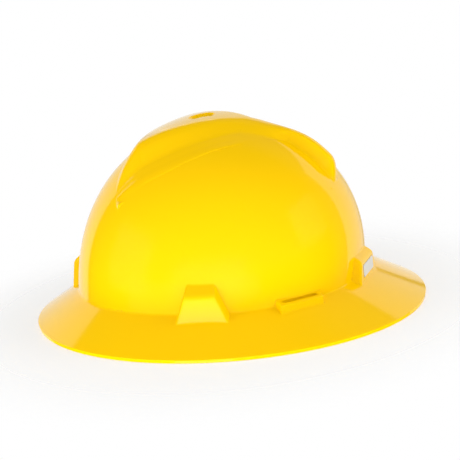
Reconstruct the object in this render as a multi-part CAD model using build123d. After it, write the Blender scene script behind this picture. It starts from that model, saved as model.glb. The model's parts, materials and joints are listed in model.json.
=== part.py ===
from build123d import *
import os
from math import atan2, cos, hypot, pi, radians, sin, sqrt, tan

# A full brim hard hat with its four-point ratchet suspension.
# X points to the wearer's front, Y to the wearer's left and Z up. The origin is the middle of the brim's
# lower edge, so the hat stands on its brim at Z = 0. All sizes are in millimetres.

# Brim
brim_length = 316.0
brim_width = 275.4
brim_rise = 26.0
brim_thickness = 2.5
brim_edge_height = 3.2
brim_edge_width = 3.2
brim_power = 2.0

# Dome
dome_length = 230.8
dome_width = 204.8
dome_height = 150.8
dome_setback = 4.5
dome_lean_forward = 12.5
dome_lean_back = 5.6
dome_power = 2.15
front_power = 2.35
back_power = 2.26
side_power = 1.97
shell_wall = 2.4

# Raised crown: a plateau that is wide at the back and runs to a blunt point at the front
crown_lift = 5.7
crown_nose_lift = 10.7
crown_nose_from_angle = 70.0
crown_nose_to_angle = 44.0
crown_crest_gain = 3.5
crown_core_x = 6.0
crown_core_z = 52.0
crown_rear_angle = 144.0
crown_back_angle = 136.0
crown_full_back_angle = 121.5
crown_full_front_angle = 37.8
crown_front_angle = 23.5
crown_wide_x = -60.0
crown_foot_half_width = 55.0
crown_foot_spread = 5.0
crown_foot_point_x = 77.0
crown_top_half_width = 31.5
crown_top_point_x = 36.0
crown_nose_half_width = 7.0
crown_nose_top_half_width = 2.3
crown_foot_overrun_share = 0.2
crown_crease_gap = 2.0
crown_sink = 2.0
crown_depth = 12.0
gate_pit_width = 20.0
gate_pit_depth = 1.8
gate_pit_x = -6.0

# Surface sampling of the dome
dome_patches = 44
dome_centre_drop = 20.0
cut_overrun = 3.0

# Pockets that hold the suspension keys
side_key_x = 15.0
pocket_foot_z = 17.0
pocket_top_z = 47.5
pocket_face_top_z = 41.5
pocket_reach = 7.0
pocket_foot_width = 46.0
pocket_face_foot_width = 44.0
pocket_top_width = 27.0
pocket_face_top_width = 24.5
pocket_round = 1.8
pocket_skin = 1.2
front_pocket_reach = 6.5
front_pocket_top_z = 43.5
front_pocket_face_top_z = 39.5
front_pocket_foot_width = 52.0
front_pocket_face_foot_width = 50.0
front_pocket_top_width = 37.0
front_pocket_face_top_width = 34.0
front_pocket_round = 2.2

# Accessory ledges beside the forehead
ledge_angle = 40.0
ledge_length = 36.5
ledge_reach = 6.0
ledge_foot_z = 17.0
ledge_top_z = 28.0
ledge_back_rise = 2.8
ledge_slot_length = 29.0
ledge_slot_width = 2.6
ledge_slot_depth = 6.0
ledge_round = 1.0

# Suspension keys
key_width = 20.0
key_tab_thickness = 3.0
key_tab_top_z = 34.5
key_foot_z = 12.0
key_foot_gap = 0.3
key_clearance = 0.2
key_arm_width = 26.0
key_arm_thickness = 2.4
key_arm_gap = 2.6
key_bend_z = 30.5
key_bend_step = 2.6
key_bar_height = 5.0
key_window_height = 4.0
key_top_margin = 1.0
key_post_width = 9.0
key_post_height = 4.5
key_post_z = 24.0

# Crown straps
strap_width = 19.0
strap_thickness = 1.2
strap_gap = 0.3
strap_top_z = 111.0
strap_splice = 9.0

# Headband and its soft lining
band_front = 99.0
band_back = 104.5
band_half_width = 84.0
band_power = 2.2
band_thickness = 1.8
band_foot_z = 5.0
band_height = 30.0
band_end_x = -48.0
sweatband_thickness = 3.0
sweatband_margin = 1.0
sweatband_end_x = -8.0
lining_gap = 0.3

# Size tails and the studs that hold them
tail_thickness = 1.3
tail_height = 15.0
tail_overlap = 26.0
tail_gap = 0.1
stud_diameter = 5.0
stud_head_diameter = 8.5
stud_head_height = 1.2
stud_spacing = 14.0
stud_clearance = 0.1

# Ratchet at the nape
ratchet_z = 16.0
ratchet_width = 68.0
ratchet_face_x = -95.9
cover_wall = 1.5
inner_cover_round = 0.5
outer_cover_round = 1.0
rack_thickness = 2.0
layer_gap = 0.1
rack_height = 6.6
rack_reach = 40.0
rack_tip = 8.0
gear_module = 1.5
pinion_teeth = 8
pressure_angle = 25.0
addendum = 0.9
dedendum = 1.2
backlash = 0.25
knob_turn = 3.4
pinion_journal_diameter = 8.0
pinion_front_journal_diameter = 6.0
running_gap = 0.05
knob_diameter = 27.0
knob_length = 8.6
knob_gap = 0.3
knob_wall = 1.8
knob_lobes = 12
lobe_depth = 1.0
grip_length = 5.6
grip_thickness = 1.4
knob_socket_diameter = 11.0
screw_diameter = 3.0
screw_head_diameter = 6.0
screw_head_height = 1.8
screw_length = 9.0
screw_slot_width = 0.9
screw_slot_reach = 2.0
detent_count = 24
detent_depth = 0.9
detent_ring_height = 1.4
detent_nose_width = 2.2
detent_gap = 0.15
cover_screw_diameter = 2.6
cover_screw_head_diameter = 4.6
cover_screw_head_height = 1.1
cover_screw_inset = 4.6
nape_pad_thickness = 2.2
nape_pad_margin = 2.0
nape_pad_round = 0.7

# Blank plate on the front pocket
badge_width = 28.0
badge_height = 9.5
badge_thickness = 0.8
badge_recess = 0.5
badge_z = 31.0
badge_gap = 0.1
badge_round = 1.5

# Shares of a size, and counts that set how finely a curve is drawn
pole_share = 0.6
inner_cut_share = 0.25
outer_cut_share = 0.15
pocket_root_share = 0.6
lobe_width_share = 0.5
ring_points = 48
halvings = 34
crown_stations = 14
surface_tolerance_share = 0.0001
flank_steps = 5

pinion_radius = gear_module * pinion_teeth / 2
tooth_pitch = pi * gear_module


# Basic shapes

def clamp(value):
    return min(max(value, 0), 1)


def smooth(share):
    """A share that starts and ends gently."""
    return share * share * (3 - 2 * share)


def super_radius(angle, half_x, half_y, power):
    """Distance from the middle of a rounded oval to its edge."""
    return (abs(cos(angle) / half_x) ** power + abs(sin(angle) / half_y) ** power) ** (-1 / power)


def oval_wire(centre_x, front, back, half_width, power, z):
    """A closed oval curve whose front and back halves may have their own lengths."""
    points = []
    for step in range(ring_points):
        angle = 2 * pi * step / ring_points
        half_x = front if cos(angle) > 0 else back
        radius = super_radius(angle, half_x, half_width, power)
        points.append((centre_x + radius * cos(angle), radius * sin(angle), z))
    return Wire([Edge.make_spline(points, periodic=True)])


def oval_prism(centre_x, front, back, half_width, power, z, height):
    wire = oval_wire(centre_x, front, back, half_width, power, z)
    return Solid.extrude(Face(wire), Vector(0, 0, height))


def profile_prism(points, width):
    """A solid with its outline in X and Z, centred on Y."""
    outline = [Vector(x, -width / 2, z) for x, z in points]
    return Solid.extrude(Face(Wire.make_polygon(outline)), Vector(0, width, 0))


def block(x_min, x_max, y_min, y_max, z_min, z_max):
    corner = Align.MIN
    size = (x_max - x_min, y_max - y_min, z_max - z_min)
    return Pos(x_min, y_min, z_min) * Box(*size, align=(corner, corner, corner))


def cylinder_x(diameter, x_start, x_end, y=0, z=ratchet_z):
    """A round bar along X."""
    bar = Cylinder(diameter / 2, abs(x_end - x_start))
    return Pos((x_start + x_end) / 2, y, z) * Rot(0, 90, 0) * bar


def one_solid(shape):
    """The largest solid of a shape, as a plain solid."""
    return max(shape.solids(), key=lambda solid: solid.volume)


# The dome's form

def dome_section(z):
    """Middle, front, back and side half sizes of the dome at a height, without the raised crown."""
    share = clamp((z - brim_rise) / (dome_height - brim_rise))
    centre = -dome_setback + dome_lean_forward * share - dome_lean_back * share ** 2
    front = dome_length / 2 * sqrt(1 - share ** front_power)
    back = dome_length / 2 * sqrt(1 - share ** back_power)
    half_y = dome_width / 2 * sqrt(1 - share ** side_power)
    return centre, front, back, half_y


def inside_dome(x, y, z):
    centre, front, back, half_y = dome_section(z)
    half_x = front if x > centre else back
    if half_x <= 0 or half_y <= 0:
        return False
    return abs((x - centre) / half_x) ** dome_power + abs(y / half_y) ** dome_power < 1


def edge_distance(origin, direction):
    """How far the dome's surface is from a point inside it, along a direction."""
    near = 0
    far = dome_length
    for _ in range(halvings):
        middle = (near + far) / 2
        x, y, z = (start + middle * part for start, part in zip(origin, direction))
        if inside_dome(x, y, z):
            near = middle
        else:
            far = middle
    return near


def dome_grid():
    """Points on the plain dome in rows from the back to the front, each running from side to side."""
    origin = (-dome_setback, 0, brim_rise - dome_centre_drop)
    pole = atan2(pole_share * dome_centre_drop, dome_width / 2)
    rows = []
    for row in range(dome_patches + 1):
        turn = pi - pi * row / dome_patches
        points = []
        for column in range(dome_patches + 1):
            lean = pole + (pi - 2 * pole) * column / dome_patches
            direction = (cos(turn) * sin(lean), cos(lean), sin(turn) * sin(lean))
            reach = edge_distance(origin, direction)
            points.append(Vector(*origin) + Vector(*direction) * reach)
        rows.append(points)
    return rows


def grid_normal(rows, row, column):
    last = len(rows) - 1
    along = rows[min(row + 1, last)][column] - rows[max(row - 1, 0)][column]
    across = rows[row][min(column + 1, last)] - rows[row][max(column - 1, 0)]
    return across.cross(along).normalized()


def dome_face(rows, depth):
    """The dome's surface without the raised crown, sunk by a depth."""
    skin = []
    for row, points in enumerate(rows):
        line = []
        for column, point in enumerate(points):
            normal = grid_normal(rows, row, column)
            if normal.dot(point - Vector(0, 0, brim_rise)) < 0:
                normal = -normal
            line.append(point - normal * depth)
        skin.append(line)
    tolerance = surface_tolerance_share * dome_length
    return Face.make_surface_from_array_of_points(skin, tol=tolerance, min_deg=3, max_deg=5)


def dome_solid(rows, depth, cut_share):
    """Everything under the dome's surface, down to just below the top of the brim."""
    foot = brim_rise - cut_share * dome_centre_drop
    bulk = block(-brim_length, brim_length, -brim_width, brim_width, foot, foot + 2 * dome_height)
    parts = bulk.split(dome_face(rows, depth), Keep.ALL).solids()
    return min(parts, key=lambda solid: solid.volume)


# Raised crown

def crown_taper(x, point_x):
    """Share of the crown's width that is left at a place between its wide back and a point."""
    return 1 - clamp((x - crown_wide_x) / (point_x - crown_wide_x)) ** 2


def crown_foot(x, rear):
    """Half width of the raised crown where its sides meet the dome."""
    half_width = crown_foot_half_width * crown_taper(x, crown_foot_point_x)
    return max(half_width, crown_nose_half_width) + rear * crown_foot_spread


def crown_top(x):
    """Half width of the raised crown's top."""
    half_width = crown_top_half_width * crown_taper(x, crown_top_point_x)
    return max(half_width, crown_nose_top_half_width)


def crown_rise(angle):
    """How far the crown stands off the dome, seen from the fan's point, before its back falls away."""
    front = clamp((angle - crown_front_angle) / (crown_full_front_angle - crown_front_angle))
    nose = smooth(clamp((crown_nose_from_angle - angle) / (crown_nose_from_angle - crown_nose_to_angle)))
    return smooth(front) * (crown_lift + nose * (crown_nose_lift - crown_lift) + crown_sink)


def rear_share(angle):
    """How far down the back of the crown a fan plane is."""
    return clamp((angle - crown_full_back_angle) / (crown_rear_angle - crown_full_back_angle))


def crown_point(angle, y, offset):
    """Point over the dome's surface on one ray of a fan plane."""
    direction = (cos(radians(angle)), 0, sin(radians(angle)))
    origin = (crown_core_x, y, crown_core_z)
    reach = edge_distance(origin, direction) + offset
    return Vector(*origin) + Vector(*direction) * reach


def crown_section(angle):
    """Outline of the raised crown in one plane of the fan."""
    rise = crown_rise(angle)
    back = clamp((crown_back_angle - angle) / (crown_back_angle - crown_full_back_angle))
    rear = rear_share(angle)
    middle = crown_point(angle, 0, rise * smooth(back) - crown_sink)
    foot = crown_foot(middle.X, rear)
    top = crown_top(middle.X)
    gain = crown_crest_gain * (top / crown_top_half_width) ** 2
    crest_height = (rise + gain) * (1 - rear) - crown_sink
    top += rear * (foot - crown_crease_gap - top)
    low, high, deep = [], [], []
    for side in (-1, 1):
        crest = crown_point(angle, side * top, crest_height)
        crease = crown_point(angle, side * foot, 0)
        end = crest + (crease - crest) * (1 + crown_foot_overrun_share)
        high.append(crest)
        low.append(end)
        deep.append(crown_point(angle, end.Y, -crown_depth))
    return Wire([
        Edge.make_line(deep[0], low[0]),
        Edge.make_line(low[0], high[0]),
        Edge.make_three_point_arc(high[0], middle, high[1]),
        Edge.make_line(high[1], low[1]),
        Edge.make_line(low[1], deep[1]),
        Edge.make_line(deep[1], deep[0]),
    ])


def crown_solid():
    sections = []
    for step in range(crown_stations + 1):
        angle = crown_rear_angle + (crown_front_angle - crown_rear_angle) * step / crown_stations
        sections.append(crown_section(angle))
    return Solid.make_loft(sections, False)


# Places on the dome's foot

def wall_place(angle):
    """Frame on the dome's foot, with X pointing out of the wall and Z up."""
    half_x = dome_length / 2
    half_y = dome_width / 2
    radius = super_radius(angle, half_x, half_y, dome_power)
    x = radius * cos(angle)
    y = radius * sin(angle)
    out_x = abs(x / half_x) ** (dome_power - 1) / half_x * (1 if x > 0 else -1)
    out_y = abs(y / half_y) ** (dome_power - 1) / half_y * (1 if y > 0 else -1)
    origin = (x - dome_setback, y, 0)
    return Plane(origin=origin, x_dir=(out_x, out_y, 0), z_dir=(0, 0, 1))


def side_key_angle():
    x = side_key_x + dome_setback
    y = dome_width / 2 * (1 - (x / (dome_length / 2)) ** dome_power) ** (1 / dome_power)
    return atan2(y, x)


def key_places():
    side = side_key_angle()
    return {
        "front": wall_place(0),
        "rear": wall_place(pi),
        "left": wall_place(side),
        "right": wall_place(-side),
    }


# Shell

def brim_wire(share, inset, z):
    """Outline of the brim, from the dome's foot at share 0 to the edge at share 1."""
    half_x = dome_length / 2 + share * (brim_length - dome_length) / 2 - inset
    half_y = dome_width / 2 + share * (brim_width - dome_width) / 2 - inset
    power = dome_power + share * (brim_power - dome_power)
    return oval_wire(-dome_setback * (1 - share), half_x, half_x, half_y, power, z)


def brim_slope():
    """Rise of the brim over its run, taken at the sides."""
    return (brim_rise - brim_edge_height) / ((brim_width - dome_width) / 2)


def brim_top():
    cone = Solid.make_loft([
        brim_wire(1, 0, brim_edge_height),
        brim_wire(0, shell_wall / 2, brim_rise + brim_slope() * shell_wall / 2),
    ], True)
    edge = Solid.extrude(Face(brim_wire(1, 0, 0)), Vector(0, 0, brim_edge_height))
    return cone.fuse(edge)


def brim_hollow():
    """The space under the brim."""
    drop = brim_thickness * sqrt(1 + brim_slope() ** 2)
    lip = brim_edge_height + brim_slope() * brim_edge_width - drop
    inset = shell_wall + cut_overrun
    top = brim_rise + brim_slope() * inset - drop
    cone = Solid.make_loft([brim_wire(1, brim_edge_width, lip), brim_wire(0, inset, top)], True)
    mouth = Solid.extrude(Face(brim_wire(1, brim_edge_width, -cut_overrun)), Vector(0, 0, lip + cut_overrun))
    return cone.fuse(mouth)


def head_core():
    """The upright space inside the dome's foot, just wider than the dome's own hollow."""
    half_x = dome_length / 2 - shell_wall + layer_gap
    half_y = dome_width / 2 - shell_wall + layer_gap
    return oval_prism(-dome_setback, half_x, half_x, half_y, dome_power, 0, brim_rise)


def trapezoid(x, foot_width, top_width, foot_z, top_z):
    return Wire.make_polygon([
        Vector(x, -foot_width / 2, foot_z),
        Vector(x, foot_width / 2, foot_z),
        Vector(x, top_width / 2, top_z),
        Vector(x, -top_width / 2, top_z),
    ])


def pocket_body(reach, foot_widths, top_widths, top_heights, rounding):
    """A bulge that tapers from the dome's wall to its outer face."""
    sections = []
    for share in (-pocket_root_share, 1):
        foot_width = foot_widths[0] + share * (foot_widths[1] - foot_widths[0])
        top_width = top_widths[0] + share * (top_widths[1] - top_widths[0])
        top_z = top_heights[0] + share * (top_heights[1] - top_heights[0])
        sections.append(trapezoid(share * reach, foot_width, top_width, pocket_foot_z, top_z))
    body = Solid.make_loft(sections, True)
    edges = []
    for edge in body.edges():
        middle = edge @ 0.5
        outer = abs(middle.X - reach) < rounding / 2
        slanted = abs(middle.X - reach * (1 - pocket_root_share) / 2) < rounding
        high = middle.Z > pocket_foot_z + rounding
        if high and (outer or slanted):
            edges.append(edge)
    return body.fillet(rounding, edges)


def side_pocket():
    return pocket_body(
        pocket_reach,
        (pocket_foot_width, pocket_face_foot_width),
        (pocket_top_width, pocket_face_top_width),
        (pocket_top_z, pocket_face_top_z),
        pocket_round,
    )


def front_pocket():
    return pocket_body(
        front_pocket_reach,
        (front_pocket_foot_width, front_pocket_face_foot_width),
        (front_pocket_top_width, front_pocket_face_top_width),
        (front_pocket_top_z, front_pocket_face_top_z),
        front_pocket_round,
    )


def pocket_slot():
    """The slot that a key's tab fills, open at its foot."""
    x_min = pocket_skin
    x_max = pocket_skin + key_tab_thickness + 2 * key_clearance
    half = key_width / 2 + key_clearance
    return block(x_min, x_max, -half, half, pocket_foot_z - cut_overrun, key_tab_top_z + key_clearance)


def ledge():
    """A straight ledge whose top slopes up to the dome."""
    root = -pocket_root_share * ledge_reach
    slope = ledge_back_rise / ledge_reach
    points = [
        (root, ledge_foot_z),
        (ledge_reach, ledge_foot_z),
        (ledge_reach, ledge_top_z),
        (root, ledge_top_z + slope * (ledge_reach - root)),
    ]
    body = profile_prism(points, ledge_length)
    edges = [edge for edge in body.edges() if (edge @ 0.5).X > ledge_reach - ledge_round / 2]
    edges = [edge for edge in edges if (edge @ 0.5).Z > ledge_foot_z + ledge_round / 2]
    return body.fillet(ledge_round, edges)


def ledge_slot():
    half = ledge_slot_length / 2
    x_max = ledge_slot_width + pocket_skin
    floor = ledge_top_z - ledge_slot_depth + ledge_back_rise
    return block(pocket_skin, x_max, -half, half, floor, ledge_top_z + ledge_length)


def badge_pocket():
    half_width = badge_width / 2 + badge_gap
    half_height = badge_height / 2 + badge_gap
    x_min = front_pocket_reach - badge_recess
    x_max = front_pocket_reach + cut_overrun
    return block(x_min, x_max, -half_width, half_width, badge_z - half_height, badge_z + half_height)


def gate_pit():
    """The shallow round pit on top of the crown."""
    origin = (gate_pit_x, 0, crown_core_z)
    floor = crown_core_z + edge_distance(origin, (0, 0, 1)) + crown_lift - gate_pit_depth
    tool = Cylinder(gate_pit_width / 2, 2 * cut_overrun)
    return Pos(gate_pit_x, 0, floor + cut_overrun) * tool


def shell():
    rows = dome_grid()
    hollow = dome_solid(rows, shell_wall, inner_cut_share)
    core = head_core()
    body = dome_solid(rows, 0, outer_cut_share).fuse(crown_solid()).fuse(brim_top())
    body = body.cut(hollow, brim_hollow())
    bulges = []
    slots = []
    for name, place in key_places().items():
        bulge = front_pocket() if name == "front" else side_pocket()
        bulges.append(place.location * bulge)
        slots.append(place.location * pocket_slot())
    slots.append(wall_place(0).location * badge_pocket())
    for side in (1, -1):
        place = wall_place(side * radians(ledge_angle))
        bulges.append(place.location * ledge())
        slots.append(place.location * ledge_slot())
    bulges = [bulge.cut(hollow, core) for bulge in bulges]
    body = body.fuse(*bulges)
    body = body.cut(*slots, gate_pit())
    return one_solid(body)


def front_badge():
    """The blank plate on the front pocket."""
    plate = Box(badge_thickness, badge_width, badge_height)
    plate = fillet(plate.edges().filter_by(Axis.X), badge_round)
    x = front_pocket_reach - badge_recess + badge_gap + badge_thickness / 2
    return wall_place(0).location * Pos(x, 0, badge_z) * plate


# Suspension keys

def key_levels():
    """Heights of a key's parts: the window's foot, the bar's foot and the top."""
    window = key_bend_z + key_bend_step + key_top_margin
    bar = window + key_window_height
    return window, bar, bar + key_bar_height


def arm_faces():
    """Outer and inner faces of a key's arm below its bend."""
    outer = -shell_wall - key_arm_gap
    return outer, outer - key_arm_thickness


def key_arm():
    outer, inner = arm_faces()
    top = key_levels()[2]
    points = [
        (outer, key_foot_z),
        (outer, key_bend_z),
        (outer - key_bend_step, key_bend_z + key_bend_step),
        (outer - key_bend_step, top),
        (inner - key_bend_step, top),
        (inner - key_bend_step, key_bend_z + key_bend_step),
        (inner, key_bend_z),
        (inner, key_foot_z),
    ]
    return profile_prism(points, key_arm_width)


def key_window():
    window, bar, _ = key_levels()
    outer, inner = arm_faces()
    half = strap_width / 2 + strap_gap
    return block(inner - key_bend_step - cut_overrun, outer, -half, half, window, bar)


def key_solid(post_reach):
    """One key: a tab for the shell's pocket, a foot under the rim, an arm and a post for the headband."""
    tab_in = pocket_skin + key_clearance
    tab_out = tab_in + key_tab_thickness
    outer, inner = arm_faces()
    foot_top = pocket_foot_z - key_foot_gap
    half = key_width / 2
    tab = block(tab_in, tab_out, -half, half, key_foot_z, key_tab_top_z)
    edges = tab.edges().filter_by(Axis.X).group_by(Axis.Z)[-1]
    tab = fillet(edges, key_tab_thickness)
    foot = block(outer, tab_out, -half, half, key_foot_z, foot_top)
    key = tab.fuse(foot).fuse(key_arm())
    key = key.cut(key_window())
    if post_reach > 0:
        half_post = key_post_width / 2
        z_min = key_post_z - key_post_height / 2
        post = block(inner - post_reach, inner, -half_post, half_post, z_min, z_min + key_post_height)
        key = key.fuse(post)
    return one_solid(key)


def band_station(angle, offset=0):
    """Point on the headband's inner face, moved out by an offset, and its outward direction."""
    half_x = (band_front if cos(angle) > 0 else band_back) + offset
    half_y = band_half_width + offset
    radius = super_radius(angle, half_x, half_y, band_power)
    x = radius * cos(angle)
    y = radius * sin(angle)
    out_x = abs(x / half_x) ** (band_power - 1) / half_x * (1 if x > 0 else -1)
    out_y = abs(y / half_y) ** (band_power - 1) / half_y * (1 if y > 0 else -1)
    length = hypot(out_x, out_y)
    return Vector(x, y, 0), Vector(out_x / length, out_y / length, 0)


def post_reach(place):
    """How far a key's post runs to end flush with the headband's inner face."""
    inner = arm_faces()[1]
    direction = -place.x_dir
    start = place.origin + place.x_dir * inner
    near = 0
    far = dome_width / 2
    for _ in range(halvings):
        middle = (near + far) / 2
        point = start + direction * middle
        angle = atan2(point.Y, point.X)
        half_x = band_front if point.X > 0 else band_back
        edge = super_radius(angle, half_x, band_half_width, band_power)
        if hypot(point.X, point.Y) > edge:
            near = middle
        else:
            far = middle
    return near


def keys():
    solids = {}
    for name, place in key_places().items():
        reach = 0 if name == "rear" else post_reach(place)
        solids["key_" + name] = place.location * key_solid(reach)
    return solids


# Crown straps

def strap_faces():
    """Inner and outer faces of a strap's loop round a key's bar, and the height where its layers meet."""
    outer, inner = arm_faces()
    low = inner - key_bend_step - strap_gap - strap_thickness
    high = outer - key_bend_step + strap_gap + strap_thickness
    return low, high, key_levels()[2] + strap_gap


def strap_loop():
    """The sewn loop at a strap's end, seen along the strap's width."""
    low, high, splice = strap_faces()
    foot = key_levels()[1] - strap_gap - strap_thickness
    top = splice + strap_splice
    rim = [
        (low, foot),
        (high, foot),
        (high, splice),
        (low + 2 * strap_thickness, top),
        (low, top),
    ]
    eye = [
        (low + strap_thickness, foot + strap_thickness),
        (high - strap_thickness, foot + strap_thickness),
        (high - strap_thickness, splice),
        (low + strap_thickness, splice),
    ]
    return profile_prism(rim, strap_width).cut(profile_prism(eye, strap_width + cut_overrun))


def arch(front, back, z_min, z_top):
    """A strap's free run, as a band between two half ovals standing on a level."""
    middle = (front + back) / 2
    half = (front - back) / 2
    rise = z_top - z_min
    body = Ellipse(half, rise) - Ellipse(half - strap_thickness, rise - strap_thickness)
    body = body & Pos(0, rise) * Rectangle(2 * half, 2 * rise)
    return Pos(middle, 0, z_min) * extrude(Plane.XZ * body, strap_width / 2, both=True)


def arch_height(x, front, back, z_min, z_top):
    """Height of an arch's outer face over a point of its span."""
    middle = (front + back) / 2
    half = (front - back) / 2
    return z_min + (z_top - z_min) * sqrt(clamp(1 - ((x - middle) / half) ** 2))


def strap_long():
    places = key_places()
    low, _, splice = strap_faces()
    level = splice + strap_splice / 2
    front = places["front"].origin.X + low + strap_thickness
    back = places["rear"].origin.X - low - strap_thickness
    strap = arch(front, back, level, strap_top_z)
    for name in ("front", "rear"):
        strap = strap.fuse(places[name].location * strap_loop())
    return one_solid(strap)


def strap_cross():
    """The strap from side to side, which passes under the long one."""
    places = key_places()
    low, _, splice = strap_faces()
    level = splice + strap_splice / 2
    end = places["left"].origin + places["left"].x_dir * (low + strap_thickness)
    front = places["front"].origin.X + low + strap_thickness
    back = places["rear"].origin.X - low - strap_thickness
    far_side = end.X + strap_width / 2
    long_height = arch_height(far_side, front, back, level, strap_top_z)
    drop = strap_thickness * (strap_top_z - level) / (long_height - level)
    top = long_height - drop - strap_gap
    strap = Pos(end.X, 0, 0) * Rot(0, 0, 90) * arch(end.Y, -end.Y, level, top)
    for name in ("left", "right"):
        strap = strap.fuse(places[name].location * strap_loop())
    return one_solid(strap)


# Headband, lining and size tails

def band_ring(inner_offset, outer_offset, z_min, height):
    """A ring that follows the headband, between two offsets from its inner face."""
    def prism(offset, low, tall):
        sizes = (band_front + offset, band_back + offset, band_half_width + offset)
        return oval_prism(0, *sizes, band_power, low, tall)
    ring = prism(outer_offset, z_min, height)
    return ring.cut(prism(inner_offset, z_min - cut_overrun, height + 2 * cut_overrun))


def behind(x, y_min=-brim_width, y_max=brim_width):
    return block(-brim_length, x, y_min, y_max, -cut_overrun, dome_height)


def ahead(x):
    return block(x, brim_length, -brim_width, brim_width, -cut_overrun, dome_height)


def tail_z(side):
    """Lower edge of a size tail: the left one is level with the upper rack, the right one with the lower."""
    if side > 0:
        return ratchet_z + rack_top() - tail_height
    return ratchet_z - rack_top()


def stud_places(side):
    """Frames on the headband for the two studs of one side."""
    places = []
    for step in range(2):
        x = band_end_x + stud_head_diameter / 2 + key_top_margin + step * stud_spacing
        y = band_half_width * (1 - abs(x / band_back) ** band_power) ** (1 / band_power)
        point, out = band_station(side * atan2(y, x))
        z = tail_z(side) + tail_height / 2
        places.append(Plane(origin=(point.X, point.Y, z), x_dir=tuple(out), z_dir=(0, 0, 1)))
    return places


def local_bar(diameter, x_min, x_max):
    return cylinder_x(diameter, x_min, x_max, 0, 0)


def stud_holes():
    diameter = stud_diameter + 2 * stud_clearance
    reach = band_thickness + tail_thickness + cut_overrun
    hole = local_bar(diameter, -cut_overrun, reach)
    return [place.location * hole for side in (1, -1) for place in stud_places(side)]


def headband():
    ring = band_ring(0, band_thickness, band_foot_z, band_height)
    ring = ring.cut(behind(band_end_x), *stud_holes())
    for name in ("front", "left", "right"):
        place = key_places()[name]
        inner = arm_faces()[1]
        half_width = key_post_width / 2 + stud_clearance
        half_height = key_post_height / 2 + stud_clearance
        reach = post_reach(place)
        slot = block(
            inner - reach - cut_overrun, inner,
            -half_width, half_width,
            key_post_z - half_height, key_post_z + half_height,
        )
        ring = ring.cut(place.location * slot)
    return one_solid(ring)


def sweatband():
    z_min = band_foot_z + sweatband_margin
    height = band_height - 2 * sweatband_margin
    ring = band_ring(-lining_gap - sweatband_thickness, -lining_gap, z_min, height)
    return one_solid(ring.cut(behind(sweatband_end_x)))


def headband_studs():
    inner = -lining_gap
    outer = band_thickness + tail_gap + tail_thickness + stud_clearance
    stud = local_bar(stud_diameter, inner - stud_head_height, outer + stud_head_height)
    stud = stud.fuse(local_bar(stud_head_diameter, inner - stud_head_height, inner))
    stud = stud.fuse(local_bar(stud_head_diameter, outer, outer + stud_head_height))
    return [one_solid(place.location * stud) for side in (1, -1) for place in stud_places(side)]


def tail(side):
    """A flexible strap from the headband's end to its rack, tapering towards the rack."""
    inner = band_thickness + tail_gap
    low = tail_z(side)
    ring = band_ring(inner, inner + tail_thickness, low, tail_height)
    y_end = rack_reach + layer_gap
    ring = ring.cut(ahead(band_end_x + tail_overlap), block(
        -brim_length, 0,
        -brim_width if side > 0 else -y_end, y_end if side > 0 else brim_width,
        -cut_overrun, dome_height,
    ))
    start = band_end_x - stud_head_diameter / 2
    finish = ratchet_face_x - cover_wall - rack_thickness
    if side > 0:
        full, narrow, past = low, low + tail_height - rack_height, low - cut_overrun
    else:
        full, narrow, past = low + tail_height, low + rack_height, low + tail_height + cut_overrun
    wedge = profile_prism([(start, full), (finish, narrow), (finish, past), (start, past)], 2 * brim_width)
    return one_solid(ring.cut(wedge, *stud_holes()))


# Ratchet

def layers():
    """X of the faces through the ratchet, from the inner cover's face to the outer cover's back."""
    cover_back = ratchet_face_x - cover_wall
    rack_front = cover_back - layer_gap
    rack_back = rack_front - rack_thickness
    floor = rack_back - layer_gap
    return cover_back, rack_front, rack_back, floor, floor - cover_wall


def rack_top():
    """Distance from the pinion's axis to a rack's back edge."""
    return pinion_radius - addendum + rack_height


def rack_outline():
    """The upper rack's outline in Y and Z, about the pinion's axis."""
    slope = tan(radians(pressure_angle))
    half = (tooth_pitch - backlash) / 4
    root = pinion_radius + dedendum
    tip = pinion_radius - addendum
    points = [(-rack_tip, rack_top()), (-rack_tip, root)]
    first = round((-rack_tip / tooth_pitch) + 1) - 1
    count = int((rack_tip + knob_turn * pinion_radius) / tooth_pitch) + 2
    for step in range(count):
        middle = (first + step + 0.5) * tooth_pitch
        if middle - half - dedendum * slope < -rack_tip:
            continue
        points.append((middle - half - dedendum * slope, root))
        points.append((middle - half + addendum * slope, tip))
        points.append((middle + half - addendum * slope, tip))
        points.append((middle + half + dedendum * slope, root))
    end = points[-1][0] + tooth_pitch / 2
    points += [(end, root), (end, tip), (rack_reach, tip), (rack_reach, rack_top())]
    return points


def rack(side):
    """The left rack lies above the pinion, and the right one is the same piece turned half round."""
    front, back = layers()[1:3]
    outline = [Vector(front, y, z) for y, z in rack_outline()]
    body = Solid.extrude(Face(Wire.make_polygon(outline)), Vector(back - front, 0, 0))
    if side < 0:
        body = Rot(180, 0, 0) * body
    return Pos(0, 0, ratchet_z) * body


def involute(angle):
    return tan(angle) - angle


def pinion_outline():
    base = pinion_radius * cos(radians(pressure_angle))
    tip = pinion_radius + addendum
    root = pinion_radius - dedendum
    half_pitch = (tooth_pitch - backlash) / 4 / pinion_radius + involute(radians(pressure_angle))
    flank = []
    for step in range(flank_steps + 1):
        radius = base + (tip - base) * step / flank_steps
        pressure = atan2(sqrt(max(radius ** 2 - base ** 2, 0)), base)
        flank.append((radius, half_pitch - involute(pressure)))
    flank.insert(0, (root, half_pitch))
    points = []
    for tooth in range(pinion_teeth):
        middle = 2 * pi * tooth / pinion_teeth
        for radius, half in flank:
            points.append((radius, middle - half))
        for radius, half in reversed(flank):
            points.append((radius, middle + half))
    return [(radius * sin(angle), radius * cos(angle)) for radius, angle in points]


def hex_bar(width, x_start, x_end):
    """A six-sided bar along X on the ratchet's axis, given across its flats."""
    sketch = RegularPolygon(width / 2, 6, major_radius=False)
    bar = extrude(Plane.YZ * sketch, x_end - x_start)
    return Pos(x_start, 0, ratchet_z) * bar


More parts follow.
